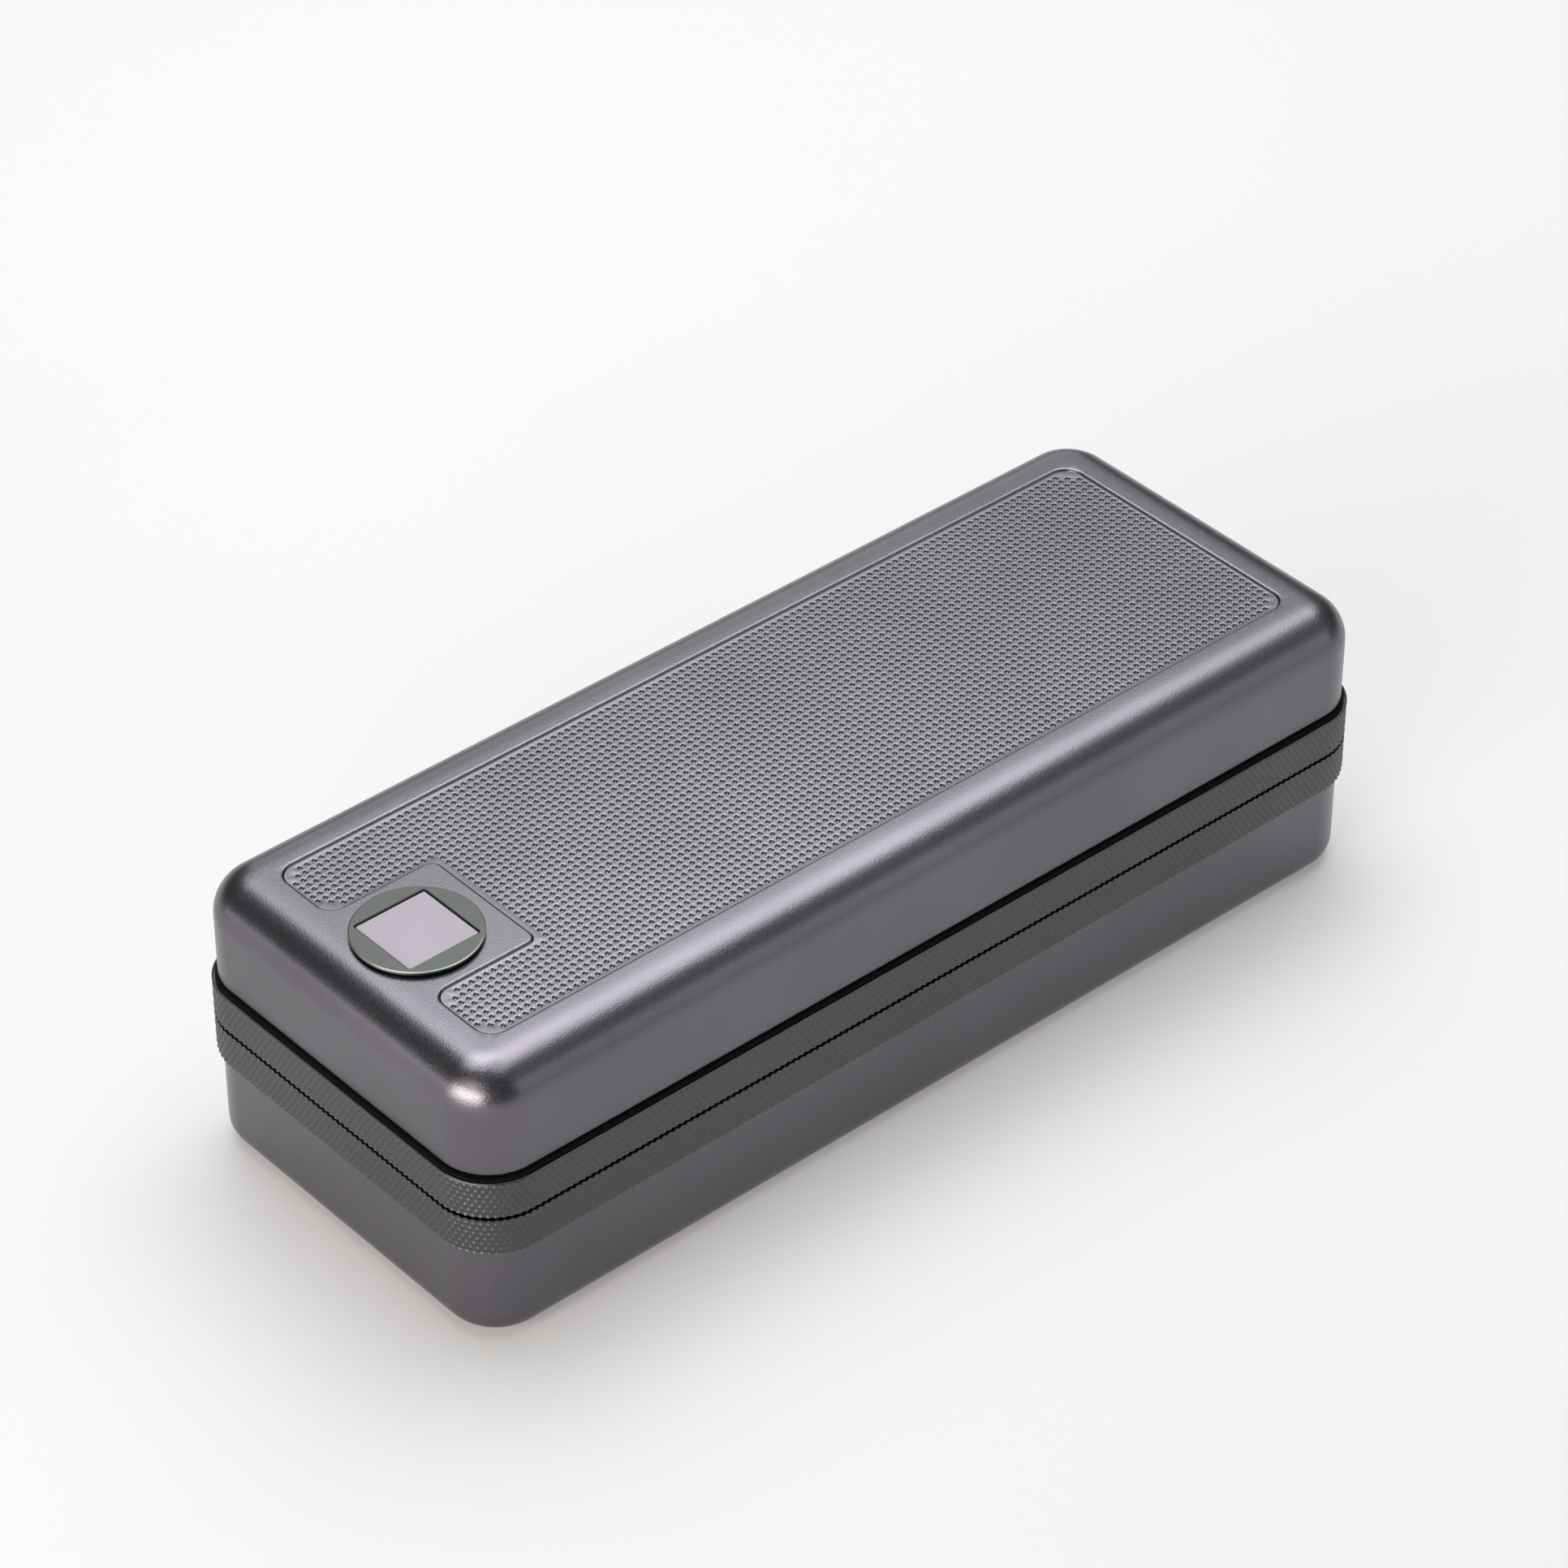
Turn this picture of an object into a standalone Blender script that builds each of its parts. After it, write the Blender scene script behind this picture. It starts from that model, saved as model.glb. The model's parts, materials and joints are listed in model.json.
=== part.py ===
"""A power bank in two metal shells with a split grip ring, a dimpled top panel and a display
button. X runs along its length, with the button near -X and the ports at +X. Z is up, and the
origin is at the bottom centre."""

import math

import bmesh
import bpy
from mathutils import Matrix, Vector

MM = 0.001
GAP = 0.3 * MM  # clearance kept between neighbouring pieces

# Casing
SHELL_X = 79.1 * MM  # half length of the shells
SHELL_Y = 30.15 * MM  # half width of the shells
CORNER = 7.8 * MM  # radius of the upright corners
HEIGHT = 43.65 * MM
TOP_ROUND = 6.1 * MM
BASE_ROUND = 3.6 * MM
WALL = 2.0 * MM
LID_TOP = 2.4 * MM  # thickness of the lid's top
SKIRT = 1.0 * MM  # how far the shell walls step in behind the grip ring

# Grip ring
RING_OUT = 0.9 * MM  # how far the ring stands proud of the shells
RING_BASE = 15.5 * MM
RING_SEAM = 21.35 * MM
RING_TOP = 27.25 * MM
LIP = 0.2 * MM  # thickness of the ring's upper lip
SEAL_BASE = 26.95 * MM
SEAL_TOP = 27.45 * MM

# Top panel
PANEL_X = 70.75 * MM  # half length of the recess
PANEL_Y = 22.05 * MM
PANEL_ROUND = 2.7 * MM
NOTCH_X = -53.55 * MM  # end of the notch that clears the button
NOTCH_Y = 10.8 * MM
NOTCH_ROUND = 1.5 * MM
PANEL_SUNK = 0.3 * MM  # panel top below the lid top
RECESS_DEPTH = 1.4 * MM

# Button
BUTTON_X = -64.75 * MM
BUTTON_RADIUS = 8.85 * MM
BUTTON_TOP = HEIGHT + 0.85 * MM
PLATE_BASE = HEIGHT + 0.45 * MM  # underside of the plate that overhangs the hole
STEM_RADIUS = 8.4 * MM
BUTTON_BASE = HEIGHT - 2.5 * MM
FLANGE_RADIUS = 9.9 * MM
FLANGE_TOP = HEIGHT - 1.8 * MM
COUNTERBORE_BASE = HEIGHT - 4.0 * MM
WINDOW = 5.85 * MM  # half side of the window's pocket
WINDOW_FLOOR = HEIGHT - 0.25 * MM
WINDOW_SUNK = 0.2 * MM  # window top below the button top
WINDOW_ROUND = 0.5 * MM
BUTTON_EDGE = 0.15 * MM  # chamfer round the plate

# Display under the button
DISPLAY = 4.6 * MM  # half side of the display module
DISPLAY_TOP = HEIGHT - 1.1 * MM
BOARD_X = BUTTON_X + 0.1 * MM
BOARD_HALF_X = 9.4 * MM
BOARD_Z = HEIGHT - 5.3 * MM  # underside of the display board
BOARD_THICK = 0.9 * MM
SWITCH_Y = 7.6 * MM
SWITCH_TOP = HEIGHT - 3.1 * MM
SWITCH_FLOOR = HEIGHT - 3.85 * MM  # floor of the pocket that the plunger sinks into
PLUNGER_BASE = HEIGHT - 3.35 * MM
PLUNGER_TOP = BUTTON_BASE - GAP
SWITCH_HALF = 1.5 * MM
SWITCH_POCKET = 1.1 * MM  # radius of the pocket round the plunger
PLUNGER_RADIUS = 0.8 * MM
BOARD_HALF_Y = 15.2 * MM
BOARD_ROUND = 2.0 * MM
POST_X = BUTTON_X + 3.5 * MM
POST_Y = 13.0 * MM
POST_RADIUS = 1.9 * MM
POST_PILOT = 0.9 * MM  # radius of the screw holes in the posts and the board
SMALL_SCREW = (0.6 * MM, 1.5 * MM)  # radii of the thread and of the head
SMALL_HEAD = 0.9 * MM
SMALL_THREAD = 2.7 * MM

# Battery
CELL_X = -68.2 * MM  # near end of the cells
CELL_LENGTH = 118.4 * MM
CELL_Y = 25.0 * MM
CELL_THICK = 10.0 * MM
CELL_COUNT = 3
CELL_ROUND = 3.0 * MM
CELL_EDGE = 1.2 * MM
PAD_THICK = 1.0 * MM
PAD_INSET = 3.0 * MM  # how far the pads stop short of the cells' edges
TRAY_BASE = WALL + GAP
TRAY_WALL = 1.2 * MM
TRAY_TOP = 34.0 * MM
CELL_BASE = TRAY_BASE + 1.0 * MM + GAP
CELL_STEP = CELL_THICK + PAD_THICK + 2 * GAP
CELL_TOP = CELL_BASE + (CELL_COUNT - 1) * CELL_STEP + CELL_THICK
EAR_BASE = 12.3 * MM
EAR_TOP = 14.3 * MM
SCREW_X = (-73.5 * MM, 55.5 * MM)
SCREW_Y = 20.0 * MM
BOSS_RADIUS = 2.5 * MM
BOSS_PILOT = 1.2 * MM  # radius of the screw holes in the bosses and the ears
PILOT_BASE = 4.0 * MM
EAR_HALF = 2.6 * MM
EAR_REACH = 4.0 * MM
TRAY_SCREW = (0.9 * MM, 1.9 * MM)  # radii of the thread and of the head
TRAY_HEAD = 1.5 * MM
TRAY_THREAD = 9.0 * MM
MOUTH_Y = 16.0 * MM  # half width of the opening for the cells' tabs
RAIL_Y = (24.4 * MM, 27.4 * MM)
RAIL_Z = (6.0 * MM, 30.0 * MM)
SLOT_Y = 23.0 * MM
GUARD_X = 54.6 * MM  # near face of the protection board
GUARD_THICK = 1.0 * MM
GUARD_BASE = 5.5 * MM
GUARD_HALF_Y = 15.0 * MM
TAB_Y = 9.0 * MM
TAB_HALF = (4.0 * MM, 0.15 * MM)
STRIP_Y = 6.0 * MM
STRIP_HALF = 2.5 * MM
STRIP_BASE = 30.0 * MM
STRIP_THICK = 0.5 * MM
TOP_PAD_HALF = (47.0 * MM, 6.0 * MM)
TOP_PAD_Y = 11.0 * MM

# Ports and main board
PORT_Z = 9.6 * MM
PORT_PLATE_Y = 20.7 * MM
PORT_PLATE_Z = 4.0 * MM
PORT_FRONT = SHELL_X - 0.4 * MM
MAIN_X = 65.3 * MM
MAIN_THICK = 1.6 * MM
MAIN_HALF_Y = 26.0 * MM
MAIN_FACE = MAIN_X + MAIN_THICK + GAP  # where the parts on the main board begin
USB_A_Y = -12.6 * MM
USB_C_Y = (2.2 * MM, 14.6 * MM)
USB_A = (2.85 * MM, 6.55 * MM, 0.6 * MM)  # half height, half width and corner radius
USB_C = (1.63 * MM, 4.47 * MM, 1.5 * MM)
USB_A_TONGUE = (0.9 * MM, 5.6 * MM)
USB_C_TONGUE = (0.35 * MM, 3.3 * MM)
SOCKET_WALL = 0.3 * MM
SOCKET_BACK = 0.6 * MM
TONGUE_SHORT = 0.8 * MM  # how far the tongues end inside the mouths
PORT_ROUND = 2.0 * MM
MAIN_MIDDLE_Z = 20.4 * MM
MAIN_HALF_Z = 16.9 * MM
MAIN_ROUND = 2.5 * MM
INDUCTOR_Y = (-19.0 * MM, -8.5 * MM)
INDUCTOR_Z = 21.0 * MM
INDUCTOR_HALF = 4.8 * MM
INDUCTOR_HIGH = 4.5 * MM
CAPACITOR_Y = (9.5 * MM, 17.5 * MM)
CAPACITOR_Z = 25.5 * MM
CAPACITOR_RADIUS = 3.2 * MM
CAPACITOR_HIGH = 5.9 * MM
CHIP_HIGH = 0.9 * MM

# Display ribbon
RIBBON_THICK = 0.3 * MM
RIBBON_HALF = 4.0 * MM
RIBBON_BEND = 1.2 * MM
RIBBON_DROP = 3.4 * MM  # from the ribbon down to its connector
CONNECTOR_HALF = (1.5 * MM, 5.0 * MM)
CONNECTOR_HIGH = 3.0 * MM

CORNER_STEPS = 8
ROUND_STEPS = 6


def clear_scene():
    for item in list(bpy.data.objects):
        bpy.data.objects.remove(item, do_unlink=True)


def make_material(name, colour, roughness, metallic):
    made = bpy.data.materials.new(name)
    made.use_nodes = True
    shader = made.node_tree.nodes["Principled BSDF"]
    shader.inputs["Base Color"].default_value = (*colour, 1.0)
    shader.inputs["Roughness"].default_value = roughness
    shader.inputs["Metallic"].default_value = metallic
    made.diffuse_color = (*colour, 1.0)
    return made


def make_materials():
    return {
        "shell": make_material("lilac_grey_metal", (0.25, 0.24, 0.27), 0.38, 0.85),
        "ring": make_material("knurled_grey_metal", (0.14, 0.145, 0.145), 0.42, 0.85),
        "panel": make_material("dimpled_panel", (0.27, 0.26, 0.29), 0.42, 0.8),
        "rubber": make_material("black_rubber", (0.01, 0.01, 0.011), 0.75, 0.0),
        "cap": make_material("green_grey_cap", (0.17, 0.2, 0.18), 0.35, 0.7),
        "window": make_material("pale_window", (0.52, 0.48, 0.54), 0.2, 0.0),
        "plastic": make_material("black_plastic", (0.02, 0.02, 0.022), 0.5, 0.0),
        "steel": make_material("bright_steel", (0.62, 0.62, 0.64), 0.3, 1.0),
        "nickel": make_material("nickel_strip", (0.66, 0.63, 0.57), 0.35, 1.0),
        "board": make_material("circuit_board", (0.02, 0.11, 0.06), 0.5, 0.0),
        "film": make_material("pouch_film", (0.55, 0.56, 0.58), 0.32, 0.9),
        "ferrite": make_material("ferrite_grey", (0.1, 0.1, 0.105), 0.65, 0.0),
        "amber": make_material("amber_film", (0.5, 0.22, 0.03), 0.4, 0.0),
        "foam": make_material("grey_foam", (0.12, 0.12, 0.13), 0.95, 0.0),
    }


def arc_path(corners, steps=CORNER_STEPS):
    """A closed anticlockwise path through (x, y, radius) corners, each rounded by an arc."""
    path = []
    for i, (x, y, radius) in enumerate(corners):
        here = Vector((x, y))
        before = Vector(corners[i - 1][:2]) - here
        after = Vector(corners[(i + 1) % len(corners)][:2]) - here
        before.normalize()
        after.normalize()
        half = before.angle(after) / 2
        centre = here + (before + after).normalized() * radius / math.sin(half)
        start = here + before * radius / math.tan(half) - centre
        sweep = math.pi - 2 * half
        side = 1 if before.cross(after) < 0 else -1
        for k in range(steps + 1):
            turn = side * sweep * k / steps
            path.append(
                centre
                + Vector(
                    (
                        start.x * math.cos(turn) - start.y * math.sin(turn),
                        start.x * math.sin(turn) + start.y * math.cos(turn),
                    )
                )
            )
    return path


def rounded_rectangle(half_x, half_y, radius, steps=CORNER_STEPS):
    corners = [
        (half_x, half_y, radius),
        (-half_x, half_y, radius),
        (-half_x, -half_y, radius),
        (half_x, -half_y, radius),
    ]
    return arc_path(corners, steps)


def circle(radius, segments):
    step = 2 * math.pi / segments
    return [Vector((radius * math.cos(i * step), radius * math.sin(i * step))) for i in range(segments)]


def new_object(name, mesh, material=None, location=(0, 0, 0), rotation=(0, 0, 0)):
    made = bpy.data.objects.new(name, mesh)
    made.location = location
    made.rotation_euler = rotation
    bpy.context.scene.collection.objects.link(made)
    if material is not None:
        mesh.materials.append(material)
        mesh.shade_smooth()
        mesh.set_sharp_from_angle(angle=math.radians(32))
    return made


def loft(name, rings, loop=False):
    """A closed mesh through rings of (path, z), capped at both ends or joined into a loop."""
    bm = bmesh.new()
    levels = [[bm.verts.new((p.x, p.y, z)) for p in path] for path, z in rings]
    pairs = list(zip(levels, levels[1:]))
    if loop:
        pairs.append((levels[-1], levels[0]))
    else:
        bm.faces.new(levels[0])
        bm.faces.new(levels[-1])
    for low, high in pairs:
        for i in range(len(low)):
            j = (i + 1) % len(low)
            bm.faces.new((low[i], low[j], high[j], high[i]))
    bmesh.ops.recalc_face_normals(bm, faces=bm.faces)
    mesh = bpy.data.meshes.new(name)
    bm.to_mesh(mesh)
    bm.free()
    return mesh


def casing_rings(profile):
    """Rings round the casing for a profile of (offset from the shell wall, z) points."""
    smallest = 0.8 * MM
    rings = []
    for offset, z in profile:
        radius = max(CORNER + offset, smallest)
        rings.append((rounded_rectangle(SHELL_X + offset, SHELL_Y + offset, radius), z))
    return rings


def round_edge(centre_offset, centre_z, radius, start, end, steps=ROUND_STEPS):
    """Profile points along an arc, with angles in degrees from the outward direction."""
    points = []
    for k in range(steps + 1):
        angle = math.radians(start + (end - start) * k / steps)
        points.append((centre_offset + radius * math.cos(angle), centre_z + radius * math.sin(angle)))
    return points


def prism(name, path, low, high):
    return loft(name, [(path, low), (path, high)])


def box(name, half_x, half_y, low, high):
    corners = ((half_x, half_y), (-half_x, half_y), (-half_x, -half_y), (half_x, -half_y))
    return prism(name, [Vector(corner) for corner in corners], low, high)


def turned(name, profile, segments=24):
    """A solid turned about Z from (radius, z) points, closed flat at both ends."""
    return loft(name, [(circle(radius, segments), z) for radius, z in profile])


def shape_with(target, mesh, operation, location=(0, 0, 0), rotation=(0, 0, 0)):
    """Cuts the mesh out of the target or joins it on, with a hidden guide object."""
    guide = new_object(target.name + "_guide", mesh, None, location, rotation)
    guide.hide_render = True
    guide.display_type = "WIRE"
    modifier = target.modifiers.new(mesh.name, "BOOLEAN")
    modifier.operation = operation
    modifier.solver = "EXACT"
    modifier.object = guide


ALONG_X = (0, math.pi / 2, 0)  # turns a piece's own Z to the casing's X


def make_lower_shell(paint):
    inner = BASE_ROUND - WALL
    rim = RING_SEAM - 2 * GAP
    step = RING_BASE - GAP
    profile = round_edge(-BASE_ROUND, BASE_ROUND, BASE_ROUND, -90, 0)
    profile += [(0, step), (-SKIRT, step), (-SKIRT, rim), (-WALL, rim)]
    profile += round_edge(-BASE_ROUND, BASE_ROUND, inner, 0, -90, 3)
    mesh = loft("lower_shell", casing_rings(profile))
    shell = new_object("lower_shell", mesh, paint["shell"])
    boss_top = EAR_BASE - GAP
    for x in SCREW_X:
        for y in (-SCREW_Y, SCREW_Y):
            boss = turned("boss", [(BOSS_RADIUS, 0.75 * WALL), (BOSS_RADIUS, boss_top)], 16)
            shape_with(shell, boss, "UNION", (x, y, 0))
            pilot = turned("pilot", [(BOSS_PILOT, PILOT_BASE), (BOSS_PILOT, boss_top + MM)], 12)
            shape_with(shell, pilot, "DIFFERENCE", (x, y, 0))
    opening = rounded_rectangle(PORT_PLATE_Z + GAP, PORT_PLATE_Y + GAP, PORT_ROUND + GAP, 4)
    window = prism("port_opening", opening, SHELL_X - 2 * WALL, SHELL_X + MM)
    shape_with(shell, window, "DIFFERENCE", (0, 0, PORT_Z), ALONG_X)


def panel_path(inset):
    """The notched outline of the top panel, drawn in by the inset."""
    end = PANEL_X - inset
    side = PANEL_Y - inset
    notch_x = NOTCH_X + inset
    notch_y = NOTCH_Y + inset
    outer = PANEL_ROUND - inset
    corners = [
        (end, side, outer),
        (-end, side, outer),
        (-end, notch_y, NOTCH_ROUND - inset),
        (notch_x, notch_y, NOTCH_ROUND + inset),
        (notch_x, -notch_y, NOTCH_ROUND + inset),
        (-end, -notch_y, NOTCH_ROUND - inset),
        (-end, -side, outer),
        (end, -side, outer),
    ]
    return arc_path(corners, 5)


def make_upper_shell(paint):
    inner = TOP_ROUND - LID_TOP
    inner_z = HEIGHT - TOP_ROUND
    rim = RING_SEAM + 2 * GAP
    step = SEAL_TOP + GAP
    profile = round_edge(-TOP_ROUND, inner_z, TOP_ROUND, 90, 0, 7)
    profile += [(0, step), (-SKIRT, step), (-SKIRT, rim), (-WALL, rim)]
    profile += round_edge(-WALL - inner, inner_z, inner, 0, 90, 5)
    shell = new_object("upper_shell", loft("upper_shell", casing_rings(profile)), paint["shell"])
    recess = prism("recess", panel_path(0), HEIGHT - RECESS_DEPTH, HEIGHT + MM)
    shape_with(shell, recess, "DIFFERENCE")
    hole = STEM_RADIUS + GAP
    counterbore = FLANGE_RADIUS + GAP
    ledge = FLANGE_TOP + GAP
    bore = [(counterbore, COUNTERBORE_BASE), (counterbore, ledge), (hole, ledge), (hole, HEIGHT + MM)]
    shape_with(shell, turned("button_hole", bore, 48), "DIFFERENCE", (BUTTON_X, 0, 0))
    post_base = BOARD_Z + BOARD_THICK + GAP
    for y in (-POST_Y, POST_Y):
        post = turned("post", [(POST_RADIUS, post_base), (POST_RADIUS, HEIGHT - LID_TOP + 0.4 * MM)], 16)
        shape_with(shell, post, "UNION", (POST_X, y, 0))
        pilot = turned("pilot", [(POST_PILOT, post_base - MM), (POST_PILOT, HEIGHT - LID_TOP)], 12)
        shape_with(shell, pilot, "DIFFERENCE", (POST_X, y, 0))


def make_grip_rings(paint):
    inside = -SKIRT + GAP
    seam = GAP / 2
    lower = [
        (RING_OUT, RING_BASE),
        (RING_OUT, RING_SEAM - seam),
        (inside, RING_SEAM - seam),
        (inside, RING_BASE),
    ]
    upper = [
        (RING_OUT, RING_SEAM + seam),
        (RING_OUT, RING_TOP),
        (RING_OUT - LIP, RING_TOP),
        (RING_OUT - LIP, SEAL_BASE - GAP),
        (inside, SEAL_BASE - GAP),
        (inside, RING_SEAM + seam),
    ]
    for name, profile in (("lower_grip_ring", lower), ("upper_grip_ring", upper)):
        new_object(name, loft(name, casing_rings(profile), loop=True), paint["ring"])


def make_seals(paint):
    seal_out = RING_OUT - LIP - GAP
    seal_in = -SKIRT + GAP
    shadow = [(seal_out, SEAL_BASE), (seal_out, SEAL_TOP), (seal_in, SEAL_TOP), (seal_in, SEAL_BASE)]
    low = RING_SEAM - GAP
    high = RING_SEAM + GAP
    rim = [(-SKIRT, low), (-SKIRT, high), (-WALL, high), (-WALL, low)]
    for name, profile in (("shadow_seal", shadow), ("rim_gasket", rim)):
        new_object(name, loft(name, casing_rings(profile), loop=True), paint["rubber"])


def make_grip_panel(paint):
    low = HEIGHT - RECESS_DEPTH + GAP
    mesh = prism("grip_panel", panel_path(GAP), low, HEIGHT - PANEL_SUNK)
    new_object("grip_panel", mesh, paint["panel"])


def make_button(paint):
    """The cap, its window and an empty on the axis that both slide along."""
    axis = bpy.data.objects.new("button_axis", None)
    axis.location = (BUTTON_X, 0, HEIGHT)
    bpy.context.scene.collection.objects.link(axis)
    profile = [
        (FLANGE_RADIUS, BUTTON_BASE - HEIGHT),
        (FLANGE_RADIUS, FLANGE_TOP - HEIGHT),
        (STEM_RADIUS, FLANGE_TOP - HEIGHT),
        (STEM_RADIUS, PLATE_BASE - HEIGHT),
        (BUTTON_RADIUS, PLATE_BASE - HEIGHT),
        (BUTTON_RADIUS, BUTTON_TOP - BUTTON_EDGE - HEIGHT),
        (BUTTON_RADIUS - BUTTON_EDGE, BUTTON_TOP - HEIGHT),
    ]
    cap = new_object("button_cap", turned("button_cap", profile, 48), paint["cap"])
    pocket = rounded_rectangle(WINDOW, WINDOW, WINDOW_ROUND, 3)
    shape_with(cap, prism("pocket", pocket, WINDOW_FLOOR, BUTTON_TOP + MM), "DIFFERENCE", (BUTTON_X, 0, 0))
    well_half = DISPLAY + GAP
    well = box("well", well_half, well_half, BUTTON_BASE - MM, BUTTON_TOP + MM)
    shape_with(cap, well, "DIFFERENCE", (BUTTON_X, 0, 0))
    cap.parent = axis
    glass = rounded_rectangle(WINDOW - GAP, WINDOW - GAP, 0.8 * WINDOW_ROUND, 3)
    low = WINDOW_FLOOR + GAP - HEIGHT
    high = BUTTON_TOP - WINDOW_SUNK - HEIGHT
    window = new_object("display_window", prism("display_window", glass, low, high), paint["window"])
    window.parent = axis


def make_display(paint):
    board_top = BOARD_Z + BOARD_THICK
    path = rounded_rectangle(BOARD_HALF_X, BOARD_HALF_Y, BOARD_ROUND, 4)
    mesh = prism("display_board", path, BOARD_Z, board_top)
    board = new_object("display_board", mesh, paint["board"], (BOARD_X, 0, 0))
    module = box("display_module", DISPLAY, DISPLAY, board_top + GAP, DISPLAY_TOP)
    new_object("display_module", module, paint["plastic"], (BUTTON_X, 0, 0))
    for side, y in (("left", SWITCH_Y), ("right", -SWITCH_Y)):
        make_switch(paint, side, y, board_top + GAP)
    head = BOARD_Z - GAP
    thread, wide = SMALL_SCREW
    profile = [(wide, head - SMALL_HEAD), (wide, head), (thread, head), (thread, head + SMALL_THREAD)]
    for number, y in enumerate((-POST_Y, POST_Y), 1):
        hole = turned("screw_hole", [(POST_PILOT, BOARD_Z - MM), (POST_PILOT, board_top + MM)], 12)
        shape_with(board, hole, "DIFFERENCE", (POST_X, y, 0))
        name = f"display_screw_{number}"
        new_object(name, turned(name, profile, 16), paint["steel"], (POST_X, y, 0))


def make_switch(paint, side, y, low):
    name = f"tact_switch_{side}"
    block = box(name, SWITCH_HALF, SWITCH_HALF, low, SWITCH_TOP)
    body = new_object(name, block, paint["plastic"], (BUTTON_X, y, 0))
    pocket = turned("pocket", [(SWITCH_POCKET, SWITCH_FLOOR), (SWITCH_POCKET, SWITCH_TOP + MM)], 16)
    shape_with(body, pocket, "DIFFERENCE", (BUTTON_X, y, 0))
    name = f"switch_plunger_{side}"
    stem = turned(name, [(PLUNGER_RADIUS, 0), (PLUNGER_RADIUS, PLUNGER_TOP - PLUNGER_BASE)], 16)
    new_object(name, stem, paint["steel"], (BUTTON_X, y, PLUNGER_BASE))


def solid(name, low, high):
    """A plain block between two opposite corners."""
    mesh = box(name, (high[0] - low[0]) / 2, (high[1] - low[1]) / 2, low[2], high[2])
    mesh.transform(Matrix.Translation(((low[0] + high[0]) / 2, (low[1] + high[1]) / 2, 0)))
    return mesh


def make_cells(paint):
    """Flat pouch cells stacked with a foam pad between each two."""
    middle = CELL_X + CELL_LENGTH / 2
    for number in range(1, CELL_COUNT + 1):
        low = CELL_BASE + (number - 1) * CELL_STEP
        high = low + CELL_THICK
        edge = CELL_EDGE
        full = rounded_rectangle(CELL_LENGTH / 2, CELL_Y, CELL_ROUND, 4)
        drawn_in = rounded_rectangle(CELL_LENGTH / 2 - edge, CELL_Y - edge, CELL_ROUND - edge, 4)
        name = f"cell_{number}"
        mesh = loft(name, [(drawn_in, low), (full, low + edge), (full, high - edge), (drawn_in, high)])
        new_object(name, mesh, paint["film"], (middle, 0, 0))
        if number < CELL_COUNT:
            name = f"cell_pad_{number}"
            pad = rounded_rectangle(CELL_LENGTH / 2 - PAD_INSET, CELL_Y - PAD_INSET, 2 * MM, 3)
            mesh = prism(name, pad, high + GAP, high + GAP + PAD_THICK)
            new_object(name, mesh, paint["foam"], (middle, 0, 0))


def make_tray(paint):
    """The tray under and round the cells, with ears for its screws and rails for the main board."""
    middle = CELL_X + CELL_LENGTH / 2
    half_x = CELL_LENGTH / 2 + GAP
    half_y = CELL_Y + GAP
    inner = rounded_rectangle(half_x, half_y, CELL_ROUND, 4)
    outer = rounded_rectangle(half_x + TRAY_WALL, half_y + TRAY_WALL, CELL_ROUND + TRAY_WALL, 4)
    floor = CELL_BASE - GAP
    levels = [(outer, TRAY_BASE), (outer, TRAY_TOP), (inner, TRAY_TOP), (inner, floor)]
    tray = new_object("battery_tray", loft("battery_tray", levels), paint["plastic"], (middle, 0, 0))
    end = middle + half_x
    mouth = solid("tab_mouth", (end - MM, -MOUTH_Y, CELL_BASE), (end + 3 * MM, MOUTH_Y, TRAY_TOP + MM))
    shape_with(tray, mouth, "DIFFERENCE")
    for x in SCREW_X:
        inward = math.copysign(EAR_REACH, x - middle)
        for y in (-SCREW_Y, SCREW_Y):
            low_x, high_x = sorted((x - inward, x + inward * 0.6))
            ear = solid("ear", (low_x, y - EAR_HALF, EAR_BASE), (high_x, y + EAR_HALF, EAR_TOP))
            shape_with(tray, ear, "UNION")
            hole = turned("ear_hole", [(BOSS_PILOT, EAR_BASE - MM), (BOSS_PILOT, EAR_TOP + MM)], 12)
            shape_with(tray, hole, "DIFFERENCE", (x, y, 0))
    for side in (-1, 1):
        near_y, far_y = sorted(side * y for y in RAIL_Y)
        base, top = RAIL_Z
        rail = solid("rail", (end + 0.4 * MM, near_y, base), (MAIN_FACE + 2 * MM, far_y, top))
        shape_with(tray, rail, "UNION")
        near_y, far_y = sorted((side * SLOT_Y, side * (MAIN_HALF_Y + GAP)))
        slot = solid("slot", (MAIN_X - GAP, near_y, base - MM), (MAIN_FACE, far_y, top + MM))
        shape_with(tray, slot, "DIFFERENCE")


def make_tray_screws(paint):
    head = EAR_TOP + GAP
    thread, wide = TRAY_SCREW
    profile = [(thread, head - TRAY_THREAD), (thread, head), (wide, head), (wide, head + TRAY_HEAD)]
    places = [(x, y) for x in SCREW_X for y in (-SCREW_Y, SCREW_Y)]
    for number, (x, y) in enumerate(places, 1):
        name = f"tray_screw_{number}"
        new_object(name, turned(name, profile, 16), paint["steel"], (x, y, 0))


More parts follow.
